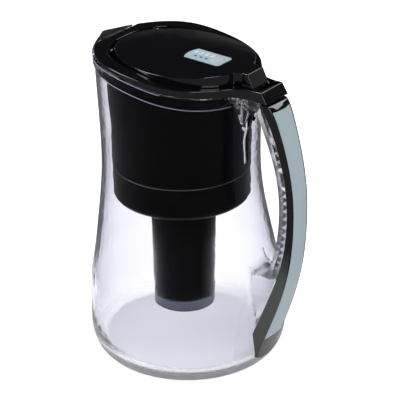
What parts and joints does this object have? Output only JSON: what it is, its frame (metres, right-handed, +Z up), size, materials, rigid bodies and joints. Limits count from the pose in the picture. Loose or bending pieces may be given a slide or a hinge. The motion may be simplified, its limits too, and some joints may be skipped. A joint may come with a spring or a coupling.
{
  "type": "water filter pitcher",
  "caption": "Clear water filter pitcher with a smoke-tinted hopper, filter cartridge, glossy lid with hinged fill door and pour flap, and a curved handle.",
  "frame": {"origin": "on the resting plane, on the axis of the cartridge sleeve", "axes": "+Z up, -X towards the spout, +X towards the handle, symmetric about the plane Y = 0"},
  "size_m": [0.2059, 0.168, 0.2682],
  "materials": {
    "clear_plastic": "clear moulded plastic, polished",
    "black_plastic": "black moulded plastic, high gloss",
    "blue_grey_grip": "pale blue-grey soft grip, satin",
    "smoke_plastic": "smoke-tinted clear plastic, polished",
    "filter_plastic": "near black moulded plastic",
    "seal_rubber": "soft white seal rubber",
    "screen_mesh": "fine woven plastic screen",
    "filter_granules": "dark filter granules",
    "flap_plastic": "black moulded plastic",
    "pale_housing": "pale moulded plastic",
    "pale_face": "pale blue face plate",
    "pale_button": "pale blue button",
    "board_green": "circuit board",
    "cell_steel": "steel can of the cell",
    "lamp_dark": "dark lamp window"
  },
  "bodies": {
    "jug": {"jug": "clear_plastic", "handle_shell": "black_plastic", "handle_grip": "blue_grey_grip"},
    "hopper": {"hopper": "smoke_plastic"},
    "cartridge": {"filter_shell": "filter_plastic", "filter_cap": "filter_plastic", "filter_seal": "seal_rubber", "filter_top_screen": "screen_mesh", "filter_media": "filter_granules", "filter_bottom_screen": "screen_mesh"},
    "lid": {"lid_frame": "black_plastic"},
    "flap": {"pour_flap": "flap_plastic"},
    "door": {"fill_door": "black_plastic", "door_liner": "black_plastic", "indicator_housing": "pale_housing", "indicator_face": "pale_face", "circuit_board": "board_green", "coin_cell": "cell_steel", "indicator_lamps": "lamp_dark", "button_dome": "seal_rubber"},
    "button": {"reset_button": "pale_button"}
  },
  "joints": [
    {"name": "hopper_lift", "type": "slide", "parent": "jug", "child": "hopper", "axis": [0, 0, 1], "range_m": [0, 0.24]},
    {"name": "cartridge_lift", "type": "slide", "parent": "hopper", "child": "cartridge", "axis": [0, 0, 1], "range_m": [0, 0.07]},
    {"name": "lid_lift", "type": "slide", "parent": "hopper", "child": "lid", "axis": [0, 0, 1], "range_m": [0, 0.06]},
    {"name": "door_hinge", "type": "hinge", "parent": "lid", "child": "door", "pos_m": [-0.051, 0, 0.263], "axis": [0, -1, 0], "range_deg": [0, 95]},
    {"name": "flap_hinge", "type": "hinge", "parent": "lid", "child": "flap", "pos_m": [-0.0714, 0, 0.26312], "axis": [0, 1, 0], "range_deg": [0, 75]},
    {"name": "reset_press", "type": "slide", "parent": "door", "child": "button", "axis": [0, 0, -1], "range_m": [0, 0.0008], "stiffness_N_per_m": 600}
  ]
}
